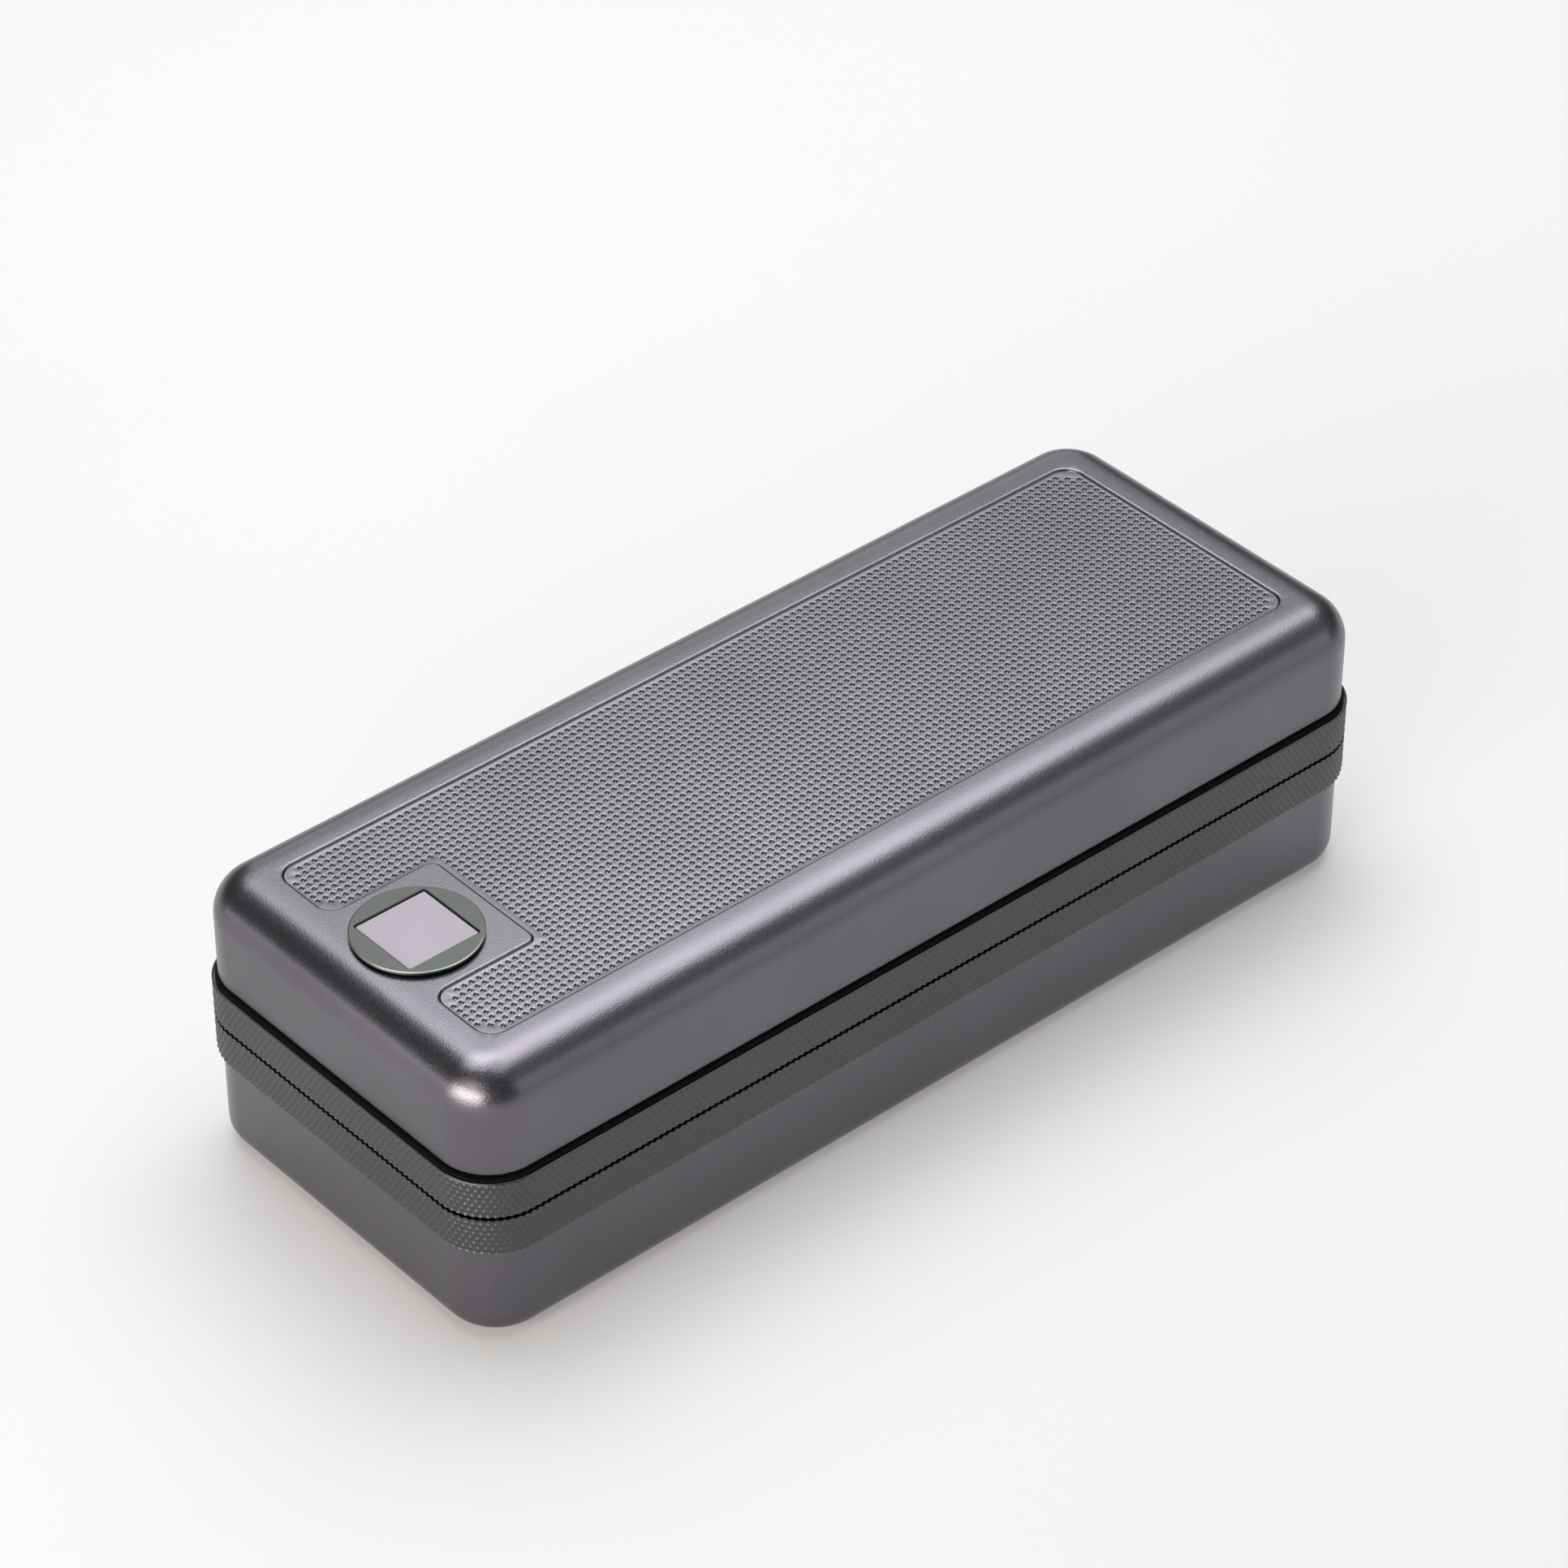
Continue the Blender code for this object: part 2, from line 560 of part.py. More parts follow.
def make_protection_board(paint):
    """The board that the cells' tabs meet, and the strips from it to the main board."""
    tabs_x = CELL_X + CELL_LENGTH + GAP
    start = (GUARD_X, -GUARD_HALF_Y, GUARD_BASE)
    board = solid("protection_board", start, (GUARD_X + GUARD_THICK, GUARD_HALF_Y, TRAY_TOP))
    new_object("protection_board", board, paint["board"])
    wide, thin = TAB_HALF
    for cell in range(CELL_COUNT):
        z = CELL_BASE + cell * CELL_STEP + CELL_THICK / 2
        for side, y in (("positive", TAB_Y), ("negative", -TAB_Y)):
            name = f"cell_{cell + 1}_tab_{side}"
            tab = solid(name, (tabs_x, y - wide, z - thin), (GUARD_X - GAP, y + wide, z + thin))
            new_object(name, tab, paint["nickel"])
    start = GUARD_X + GUARD_THICK + GAP
    for side, y in (("positive", STRIP_Y), ("negative", -STRIP_Y)):
        name = f"battery_strip_{side}"
        corner = (MAIN_X - GAP, y + STRIP_HALF, STRIP_BASE + STRIP_THICK)
        strip = solid(name, (start, y - STRIP_HALF, STRIP_BASE), corner)
        new_object(name, strip, paint["nickel"])


def make_top_pads(paint):
    """Two foam pads that hold the cells down, one on each side of the display ribbon."""
    for side, y in (("left", TOP_PAD_Y), ("right", -TOP_PAD_Y)):
        name = f"top_pad_{side}"
        path = rounded_rectangle(*TOP_PAD_HALF, 2 * MM, 3)
        mesh = prism(name, path, CELL_TOP + GAP, HEIGHT - LID_TOP - GAP)
        new_object(name, mesh, paint["foam"], (0, y, 0))


def make_main_board(paint):
    path = rounded_rectangle(MAIN_HALF_Z, MAIN_HALF_Y, MAIN_ROUND, 4)
    mesh = prism("main_board", path, 0, MAIN_THICK)
    new_object("main_board", mesh, paint["board"], (MAIN_X, 0, MAIN_MIDDLE_Z), ALONG_X)
    for number, y in enumerate(INDUCTOR_Y, 1):
        name = f"inductor_{number}"
        outline = rounded_rectangle(INDUCTOR_HALF, INDUCTOR_HALF, INDUCTOR_HALF / 4, 3)
        block = prism(name, outline, 0, INDUCTOR_HIGH)
        new_object(name, block, paint["ferrite"], (MAIN_FACE, y, INDUCTOR_Z), ALONG_X)
    radius, edge = CAPACITOR_RADIUS, 0.3 * MM
    profile = [(radius, 0), (radius, CAPACITOR_HIGH - edge), (radius - edge, CAPACITOR_HIGH)]
    for number, y in enumerate(CAPACITOR_Y, 1):
        name = f"capacitor_{number}"
        can = turned(name, profile, 20)
        new_object(name, can, paint["steel"], (MAIN_FACE, y, CAPACITOR_Z), ALONG_X)
    chips = (("charge_chip", 1.5 * MM, 20.5 * MM, 3.5 * MM), ("power_chip", 13 * MM, 18 * MM, 2.5 * MM))
    for name, y, z, half in chips:
        chip = box(name, half, half, 0, CHIP_HIGH)
        new_object(name, chip, paint["plastic"], (MAIN_FACE, y, z), ALONG_X)


def make_ribbon(paint):
    """A flat cable over the cells, bent down into its connector on the main board."""
    thick = RIBBON_THICK
    under = BOARD_Z - 0.1 * MM
    start = BOARD_X + BOARD_HALF_X + GAP
    down_x = MAIN_FACE + 1.5 * MM
    connector_top = under - RIBBON_DROP
    bend = RIBBON_BEND
    outer_z = under + thick
    sharp = 0.01 * MM
    corners = [
        (start, under, sharp),
        (down_x, under, bend),
        (down_x, connector_top + GAP, sharp),
        (down_x + thick, connector_top + GAP, sharp),
        (down_x + thick, outer_z, bend + thick),
        (start, outer_z, sharp),
    ]
    mesh = prism("display_ribbon", arc_path(corners, 3), -RIBBON_HALF, RIBBON_HALF)
    new_object("display_ribbon", mesh, paint["amber"], (0, 0, 0), (math.pi / 2, 0, 0))
    half_z, half_y = CONNECTOR_HALF
    block = box("ribbon_connector", half_z, half_y, MAIN_FACE, MAIN_FACE + CONNECTOR_HIGH)
    new_object("ribbon_connector", block, paint["plastic"], (0, 0, connector_top - half_z), ALONG_X)


def make_socket(paint, kind, suffix, y, size, tongue_half):
    """A socket: a drawn steel shell closed at its back, and the tongue that carries its contacts."""
    half_z, half_y, radius = size
    wall = SOCKET_WALL
    depth = PORT_FRONT - MAIN_FACE
    outer = rounded_rectangle(half_z, half_y, radius, 4)
    inner = rounded_rectangle(half_z - wall, half_y - wall, radius - wall, 4)
    name = f"{kind}_shell{suffix}"
    mesh = loft(name, [(outer, 0), (outer, depth), (inner, depth), (inner, SOCKET_BACK)])
    new_object(name, mesh, paint["steel"], (MAIN_FACE, y, PORT_Z), ALONG_X)
    name = f"{kind}_tongue{suffix}"
    tongue = box(name, *tongue_half, SOCKET_BACK + GAP, depth - TONGUE_SHORT)
    new_object(name, tongue, paint["plastic"], (MAIN_FACE, y, PORT_Z), ALONG_X)


def make_ports(paint):
    low = SHELL_X - WALL - 0.4 * MM
    high = SHELL_X - 0.15 * MM
    path = rounded_rectangle(PORT_PLATE_Z, PORT_PLATE_Y, PORT_ROUND, 4)
    mesh = prism("port_plate", path, low, high)
    plate = new_object("port_plate", mesh, paint["plastic"], (0, 0, PORT_Z), ALONG_X)
    places = [(USB_A_Y, USB_A)] + [(y, USB_C) for y in USB_C_Y]
    for y, (half_z, half_y, radius) in places:
        path = rounded_rectangle(half_z + GAP, half_y + GAP, radius + GAP, 4)
        hole = prism("port_hole", path, low - MM, high + MM)
        shape_with(plate, hole, "DIFFERENCE", (0, y, PORT_Z), ALONG_X)
    make_socket(paint, "usb_a", "", USB_A_Y, USB_A, USB_A_TONGUE)
    for number, y in enumerate(USB_C_Y, 1):
        make_socket(paint, "usb_c", f"_{number}", y, USB_C, USB_C_TONGUE)


def main():
    clear_scene()
    paint = make_materials()
    make_lower_shell(paint)
    make_upper_shell(paint)
    make_grip_rings(paint)
    make_seals(paint)
    make_grip_panel(paint)
    make_button(paint)
    make_display(paint)
    make_cells(paint)
    make_tray(paint)
    make_tray_screws(paint)
    make_protection_board(paint)
    make_top_pads(paint)
    make_main_board(paint)
    make_ribbon(paint)
    make_ports(paint)


main()
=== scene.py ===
"""Looks of the power bank: smooth shells, a knurled grip ring, a dimpled panel, the display button
and the sockets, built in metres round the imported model, with their materials and the studio."""

import json
import math

import bmesh
import bpy
import numpy as np
from mathutils import Matrix, Vector


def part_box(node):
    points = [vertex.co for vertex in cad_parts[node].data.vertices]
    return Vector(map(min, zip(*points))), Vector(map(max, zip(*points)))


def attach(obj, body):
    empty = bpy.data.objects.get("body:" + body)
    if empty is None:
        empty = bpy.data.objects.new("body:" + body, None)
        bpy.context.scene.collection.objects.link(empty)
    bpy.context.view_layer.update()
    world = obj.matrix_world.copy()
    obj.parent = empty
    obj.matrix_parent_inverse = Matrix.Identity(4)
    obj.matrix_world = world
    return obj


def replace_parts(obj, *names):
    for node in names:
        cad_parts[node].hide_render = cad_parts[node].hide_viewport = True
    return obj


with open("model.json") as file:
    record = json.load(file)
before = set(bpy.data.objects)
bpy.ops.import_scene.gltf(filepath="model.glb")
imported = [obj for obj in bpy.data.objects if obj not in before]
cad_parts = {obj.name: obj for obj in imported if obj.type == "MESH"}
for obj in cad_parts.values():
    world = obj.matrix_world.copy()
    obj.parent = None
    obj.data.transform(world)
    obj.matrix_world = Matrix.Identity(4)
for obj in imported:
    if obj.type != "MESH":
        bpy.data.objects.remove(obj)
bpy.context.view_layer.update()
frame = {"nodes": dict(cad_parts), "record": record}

MM = 0.001
GAP = 0.3 * MM  # clearance between neighbouring CAD pieces


def high(node):
    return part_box(node)[1]


def low(node):
    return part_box(node)[0]


# Casing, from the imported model
SHELL_X = high("upper_shell").x
SHELL_Y = high("upper_shell").y
LID_Z = high("upper_shell").z
LID_RIM = low("upper_shell").z
TUB_RIM = high("lower_shell").z
RING_OUT = high("upper_grip_ring").x - SHELL_X
RING_TOP = high("upper_grip_ring").z
RING_BASE = low("lower_grip_ring").z
SEAM_TOP = low("upper_grip_ring").z
SEAM_BASE = high("lower_grip_ring").z
SEAL_TOP = high("shadow_seal").z
SEAL_BASE = low("shadow_seal").z
SEAL_OUT = high("shadow_seal").x - SHELL_X
PANEL_X = high("grip_panel").x + GAP
PANEL_Y = high("grip_panel").y + GAP
PANEL_TOP = high("grip_panel").z
PANEL_BASE = low("grip_panel").z
BUTTON_X = (high("button_cap").x + low("button_cap").x) / 2
BUTTON_TOP = high("button_cap").z
BUTTON_BASE = low("button_cap").z
FLANGE_RADIUS = (high("button_cap").x - low("button_cap").x) / 2
WINDOW_HALF = (high("display_window").x - low("display_window").x) / 2
PORT_Z = (high("port_plate").z + low("port_plate").z) / 2
PORT_HALF_Z = (high("port_plate").z - low("port_plate").z) / 2
PORT_HALF_Y = high("port_plate").y

# Casing, as designed
CORNER = 7.8 * MM  # radius of the upright corners
TOP_ROUND = 6.1 * MM
BASE_ROUND = 3.6 * MM
WALL = 2.0 * MM
LID_TOP = 2.4 * MM
SKIRT = 1.0 * MM
PANEL_ROUND = 2.7 * MM
NOTCH_X = -53.55 * MM
NOTCH_Y = 10.8 * MM
NOTCH_ROUND = 1.5 * MM
LOBE_ROUND = 2.3 * MM  # radius of the panel's corners beside the notch
RECESS_DEPTH = 1.4 * MM
PLATE_RADIUS = 8.85 * MM
PLATE_THICK = 0.4 * MM
PLATE_CHAMFER = 0.2 * MM
STEM_RADIUS = 8.4 * MM
FLANGE_TOP = LID_Z - 1.8 * MM

# Fine surface
KNURL_COLUMNS = 417
KNURL_ROW = 0.82 * MM  # height between two staggered rows of knurl points
KNURL_DEPTH = 0.22 * MM
KNURL_RADIUS = 0.5 * MM
KNURL_STEPS = 3  # mesh columns in half a pitch
KNURL_PITCH = 2 * (2 * (SHELL_X + SHELL_Y - 2 * CORNER) + math.pi * (CORNER + RING_OUT)) / KNURL_COLUMNS
DIMPLE_COLUMNS = 119
DIMPLE_ROWS = 37
DIMPLE_SPAN_X = 139.9 * MM
DIMPLE_SPAN_Y = 42.1 * MM
DIMPLE_RADIUS = 0.39 * MM
DIMPLE_DEPTH = 0.42 * MM
DIMPLE_SIDES = 8
CORNER_STEPS = 24
SHARP = 34.0  # degrees between faces from which an edge shows as sharp

# ------------------------------------------------------------------ materials


class Tree:
    """A material's node tree, with short calls to add nodes and link them."""

    def __init__(self, name):
        self.material = bpy.data.materials.new(name)
        self.material.use_nodes = True
        self.nodes = self.material.node_tree.nodes
        self.links = self.material.node_tree.links
        self.shader = self.nodes["Principled BSDF"]
        self.place = self.nodes.new("ShaderNodeTexCoord").outputs["Object"]

    def set(self, node, **inputs):
        for key, value in inputs.items():
            socket = node.inputs[key.replace("_", " ")]
            if isinstance(value, bpy.types.NodeSocket):
                self.links.new(value, socket)
            else:
                socket.default_value = value
        return node

    def noise(self, scale, detail=2.0, stretch=None):
        node = self.nodes.new("ShaderNodeTexNoise")
        place = self.place
        if stretch is not None:
            mapping = self.nodes.new("ShaderNodeMapping")
            self.links.new(place, mapping.inputs["Vector"])
            mapping.inputs["Scale"].default_value = stretch
            place = mapping.outputs["Vector"]
        self.set(node, Vector=place, Scale=scale, Detail=detail)
        return node.outputs["Fac"]

    def spread(self, value, start, end):
        """The value's 0.3 to 0.7, where most of a noise lies, mapped onto start to end."""
        node = self.nodes.new("ShaderNodeMapRange")
        self.set(node, Value=value, From_Min=0.3, From_Max=0.7, To_Min=start, To_Max=end)
        return node.outputs["Result"]

    def mix(self, factor, first, second, blend="MIX"):
        node = self.nodes.new("ShaderNodeMix")
        node.data_type = "RGBA"
        node.blend_type = blend
        ends = [s for s in node.inputs if s.type == "RGBA"]
        for socket, value in zip([node.inputs["Factor"], *ends], (factor, first, second)):
            if isinstance(value, bpy.types.NodeSocket):
                self.links.new(value, socket)
            else:
                socket.default_value = value
        return [s for s in node.outputs if s.type == "RGBA"][0]

    def bump(self, height, strength, distance):
        node = self.nodes.new("ShaderNodeBump")
        self.set(node, Height=height, Strength=strength, Distance=distance)
        return node.outputs["Normal"]


def rgba(colour, share=1.0):
    return (*[c * share for c in colour], 1.0)


def grained(name, colour, roughness, metallic=1.0, grain=3600.0, depth=0.8, drift=0.06):
    """The tree of a surface with a fine grain, a slow drift in tone and an uneven gloss."""
    tree = Tree(name)
    slow = tree.noise(45.0, 3.0)
    fine = tree.noise(grain, 2.0)
    tone = tree.mix(tree.spread(slow, 0.0, 1.0), rgba(colour, 1 - drift), rgba(colour, 1 + drift))
    speck = tree.mix(tree.spread(fine, 0.0, 1.0), rgba((1, 1, 1), 0.93), rgba((1, 1, 1), 1.0))
    shade = tree.mix(1.0, tone, speck, "MULTIPLY")
    gloss = tree.spread(fine, roughness - 0.03, roughness + 0.05)
    normal = tree.bump(fine, depth, 0.04 * MM)
    tree.set(tree.shader, Base_Color=shade, Roughness=gloss, Metallic=metallic, Normal=normal)
    return tree


def blasted(*settings, **more):
    """A blasted or moulded surface, with the settings of grained()."""
    return grained(*settings, **more).material


def brushed(name, colour, roughness, stretch, depth=0.3):
    """A drawn or rolled metal, with fine lines along one direction."""
    tree = Tree(name)
    lines = tree.noise(400.0, 4.0, stretch)
    tone = tree.mix(tree.spread(lines, 0.0, 1.0), rgba(colour, 0.88), rgba(colour, 1.06))
    gloss = tree.spread(lines, roughness - 0.05, roughness + 0.08)
    normal = tree.bump(lines, depth, 0.01 * MM)
    tree.set(tree.shader, Base_Color=tone, Roughness=gloss, Metallic=1.0, Normal=normal)
    return tree.material


def circuit_board():
    """Green mask with copper tracks showing faintly through it."""
    tree = Tree("green_board")
    brick = tree.nodes.new("ShaderNodeTexBrick")
    tree.set(brick, Vector=tree.place, Scale=420.0, Mortar_Size=0.035, Bias=-0.2)
    brick.inputs["Color1"].default_value = (0.01, 0.075, 0.035, 1)
    brick.inputs["Color2"].default_value = (0.014, 0.095, 0.045, 1)
    brick.inputs["Mortar"].default_value = (0.03, 0.17, 0.08, 1)
    mottle = tree.noise(1500.0, 3.0)
    colour = tree.mix(tree.spread(mottle, 0.0, 0.25), brick.outputs["Color"], (0.02, 0.12, 0.06, 1))
    normal = tree.bump(brick.outputs["Fac"], 0.2, 0.03 * MM)
    tree.set(tree.shader, Base_Color=colour, Roughness=tree.spread(mottle, 0.3, 0.42), Normal=normal)
    return tree.material


def pouch_film():
    """Aluminium laminate drawn over a wound core, slightly creased."""
    tree = Tree("silver_laminate")
    crease = tree.noise(90.0, 5.0)
    tone = tree.mix(tree.spread(crease, 0.0, 1.0), (0.46, 0.47, 0.49, 1), (0.62, 0.63, 0.65, 1))
    normal = tree.bump(crease, 0.5, 0.3 * MM)
    gloss = tree.spread(crease, 0.24, 0.4)
    tree.set(tree.shader, Base_Color=tone, Roughness=gloss, Metallic=0.9, Normal=normal)
    return tree.material


def foam():
    tree = Tree("closed_cell_foam")
    cells = tree.nodes.new("ShaderNodeTexVoronoi")
    tree.set(cells, Vector=tree.place, Scale=2600.0)
    tone = tree.mix(cells.outputs["Distance"], (0.05, 0.05, 0.055, 1), (0.15, 0.15, 0.16, 1))
    normal = tree.bump(cells.outputs["Distance"], 0.8, 0.1 * MM)
    tree.set(tree.shader, Base_Color=tone, Roughness=0.95, Normal=normal)
    return tree.material


def black_rubber():
    tree = grained("black_rubber", (0.004, 0.004, 0.005), 0.85, 0.0, 3000.0, 0.3)
    tree.set(tree.shader, Specular_IOR_Level=0.15)
    return tree.material


def window_plastic():
    """Pale lacquered window, with a very slight unevenness under a smooth top."""
    tree = Tree("pale_lilac_window")
    slow = tree.noise(160.0, 3.0)
    tone = tree.mix(tree.spread(slow, 0.0, 1.0), (0.29, 0.265, 0.31, 1), (0.31, 0.28, 0.33, 1))
    normal = tree.bump(tree.noise(2500.0, 2.0), 0.05, 0.01 * MM)
    tree.set(tree.shader, Base_Color=tone, Roughness=tree.spread(slow, 0.3, 0.36), Normal=normal)
    return tree.material


def cap_metal():
    """Green-grey metal; the turned chamfer round the button's plate is coloured brighter, a painted
    highlight.
    """
    tree = grained("green_grey_metal", (0.086, 0.095, 0.088), 0.36, depth=0.2, drift=0.02)
    flat = tree.nodes.new("ShaderNodeVectorMath")
    flat.operation = "MULTIPLY"
    flat.inputs[1].default_value = (1.0, 1.0, 0.0)
    tree.links.new(tree.place, flat.inputs[0])
    reach = tree.nodes.new("ShaderNodeVectorMath")
    reach.operation = "DISTANCE"
    reach.inputs[1].default_value = (BUTTON_X, 0.0, 0.0)
    tree.links.new(flat.outputs["Vector"], reach.inputs[0])
    # painted highlight: the chamfer gets a lighter colour all round, standing in for light caught by
    # the rim
    start = PLATE_RADIUS - PLATE_CHAMFER
    edge = tree.nodes.new("ShaderNodeMapRange")
    tree.set(edge, Value=reach.outputs["Value"], From_Min=start, From_Max=start + 0.03 * MM)
    metal = tree.shader.inputs["Base Color"].links[0].from_socket
    colour = tree.mix(edge.outputs["Result"], metal, (0.28, 0.28, 0.27, 1.0))
    tree.set(tree.shader, Base_Color=colour)
    return tree.material


def make_materials():
    lengthwise = (0.04, 1.0, 1.0)
    return {
        "shell_metal": blasted("lilac_grey_metal", (0.158, 0.15, 0.17), 0.3, depth=0.6),
        "ring_metal": blasted("knurled_grey_metal", (0.1, 0.104, 0.103), 0.34, drift=0.04),
        "panel_metal": blasted("dimpled_metal", (0.176, 0.168, 0.187), 0.3, depth=0.3),
        "cap_metal": cap_metal(),
        "window_plastic": window_plastic(),
        "black_rubber": black_rubber(),
        "black_plastic": blasted("black_plastic", (0.016, 0.016, 0.018), 0.45, 0.0, 3500.0, 0.35),
        "steel": brushed("drawn_steel", (0.55, 0.55, 0.57), 0.25, lengthwise),
        "nickel": brushed("rolled_nickel", (0.66, 0.63, 0.57), 0.3, lengthwise),
        "can_aluminium": brushed("can_aluminium", (0.62, 0.62, 0.64), 0.28, (1.0, 1.0, 0.05)),
        "circuit_board": circuit_board(),
        "pouch_film": pouch_film(),
        "ferrite": blasted("pressed_ferrite", (0.09, 0.09, 0.095), 0.62, 0.0, 2500.0, 0.6),
        "amber_film": brushed("amber_film", (0.45, 0.2, 0.03), 0.35, lengthwise),
        "foam": foam(),
        "contact_gold": brushed("contact_gold", (0.83, 0.6, 0.24), 0.22, lengthwise, 0.15),
    }


# ------------------------------------------------------------------ mesh tools


def arc_path(corners, steps):
    """A closed anticlockwise path through (x, y, radius) corners, each rounded by an arc."""
    path = []
    for i, (x, y, radius) in enumerate(corners):
        here = Vector((x, y))
        before = (Vector(corners[i - 1][:2]) - here).normalized()
        after = (Vector(corners[(i + 1) % len(corners)][:2]) - here).normalized()
        half = before.angle(after) / 2
        centre = here + (before + after).normalized() * radius / math.sin(half)
        start = here + before * radius / math.tan(half) - centre
        side = 1 if before.cross(after) < 0 else -1
        for k in range(steps + 1):
            turn = side * (math.pi - 2 * half) * k / steps
            path.append(centre + Matrix.Rotation(turn, 2) @ start)
    return np.array(path)


def rounded_rectangle(half_x, half_y, radius, steps=12):
    corners = [(half_x, half_y), (-half_x, half_y), (-half_x, -half_y), (half_x, -half_y)]
    return arc_path([(x, y, radius) for x, y in corners], steps)


def circle(radius, segments=128):
    turn = np.arange(segments) * 2 * math.pi / segments
    return np.column_stack((radius * np.cos(turn), radius * np.sin(turn)))


def at_height(path, z, middle=(0.0, 0.0)):
    """The path's points as 3D points at height z, moved to the middle."""
    return np.column_stack((path + np.array(middle), np.full(len(path), z)))


def facing_x(path, x, middle):
    """A path drawn in (y, z), placed in the plane at x round the middle (y, z)."""
    moved = path + np.array(middle)
    return np.column_stack((np.full(len(path), x), moved))


def casing_outline(offset=0.0, steps=CORNER_STEPS):
    return rounded_rectangle(SHELL_X + offset, SHELL_Y + offset, CORNER + offset, steps)


def panel_outline(inset):
    """The notched outline of the top panel's recess, drawn in by the inset."""
    end = PANEL_X - inset
    side = PANEL_Y - inset
    notch_x = NOTCH_X + inset
    notch_y = NOTCH_Y + inset
    corners = [
        (end, side, PANEL_ROUND - inset),
        (-end, side, PANEL_ROUND - inset),
        (-end, notch_y, LOBE_ROUND - inset),
        (notch_x, notch_y, NOTCH_ROUND + inset),
        (notch_x, -notch_y, NOTCH_ROUND + inset),
        (-end, -notch_y, LOBE_ROUND - inset),
        (-end, -side, PANEL_ROUND - inset),
        (end, -side, PANEL_ROUND - inset),
    ]
    return arc_path(corners, 10)


def arc(middle, height, radius, start, end, steps):
    """(distance, height) points along an arc, with angles in degrees from outward."""
    turns = np.radians(np.linspace(start, end, steps + 1))
    return [(middle + radius * math.cos(t), height + radius * math.sin(t)) for t in turns]


class Skin:
    """A mesh built from loops of points, bridged in turn and filled where they end."""

    def __init__(self):
        self.bm = bmesh.new()

    def loop(self, points):
        return [self.bm.verts.new(p) for p in points]

    def bridge(self, first, second):
        for i in range(len(first)):
            j = (i + 1) % len(first)
            self.bm.faces.new((first[i], first[j], second[j], second[i]))

    def strip(self, loops, closed=False):
        """Bridges the loops in turn and returns the first and the last of them."""
        made = [self.loop(points) for points in loops]
        for first, second in zip(made, made[1:]):
            self.bridge(first, second)
        if closed:
            self.bridge(made[-1], made[0])
        return made[0], made[-1]

    def fill(self, *loops):
        """A flat face between an outer loop and the holes in it."""
        edges = []
        for verts in loops:
            for i in range(len(verts)):
                pair = (verts[i - 1], verts[i])
                edges.append(self.bm.edges.get(pair) or self.bm.edges.new(pair))
        bmesh.ops.triangle_fill(self.bm, use_beauty=True, use_dissolve=False, edges=edges)

    def finish(self, name, material, body="casing", sharp=SHARP, weighted=True):
        bmesh.ops.recalc_face_normals(self.bm, faces=self.bm.faces)
        mesh = bpy.data.meshes.new(name)
        self.bm.to_mesh(mesh)
        self.bm.free()
        return place_piece(name, mesh, material, body, sharp, weighted)


def place_piece(name, mesh, material, body, sharp, weighted):
    piece = bpy.data.objects.new(name, mesh)
    bpy.context.scene.collection.objects.link(piece)
    mesh.materials.append(material)
    mesh.shade_smooth()
    mesh.set_sharp_from_angle(angle=math.radians(sharp))
    if weighted:
        modifier = piece.modifiers.new("even_shading", "WEIGHTED_NORMAL")
        modifier.keep_sharp = True
    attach(piece, body)
    return piece


def cut(piece, loops):
    """Cuts the solid that the loops describe, closed at both ends, out of the piece."""
    tool = Skin()
    first, last = tool.strip(loops)
    tool.fill(first)
    tool.fill(last)
    bmesh.ops.recalc_face_normals(tool.bm, faces=tool.bm.faces)
    mesh = bpy.data.meshes.new("cutter")
    tool.bm.to_mesh(mesh)
    tool.bm.free()
    cutter = bpy.data.objects.new("cutter", mesh)
    bpy.context.scene.collection.objects.link(cutter)
    modifier = piece.modifiers.new("cut", "BOOLEAN")
    modifier.operation = "DIFFERENCE"
    modifier.solver = "EXACT"
    modifier.object = cutter
    while piece.modifiers[0] != modifier:
        piece.modifiers.move(len(piece.modifiers) - 1, 0)
    with bpy.context.temp_override(object=piece, active_object=piece):
        bpy.ops.object.modifier_apply(modifier="cut")
    bpy.data.objects.remove(cutter)
    piece.data.set_sharp_from_angle(angle=math.radians(SHARP))


# ------------------------------------------------------------------ the casing


def wall_loops(profile):
    """Casing loops for a profile of (offset from the shell wall, z) points."""
    return [at_height(casing_outline(offset), z) for offset, z in profile]


def crested_edge():
    """The lid's top round, easing into the flat top over a shallow crest."""
    crest = 1.8 * MM
    lean = 5.0  # degrees of slope where the crest begins
    steps = 8
    fall = crest * math.tan(math.radians(lean)) / 3
    middle = LID_Z - fall - TOP_ROUND * math.cos(math.radians(lean))
    profile = arc(-TOP_ROUND, middle, TOP_ROUND, 0, 90 - lean, 28)
    start, base = profile[-1]
    for k in range(1, steps + 1):
        share = k / steps
        profile.append((start - crest * share, base + fall * (1 - (1 - share) ** 3)))
    return profile


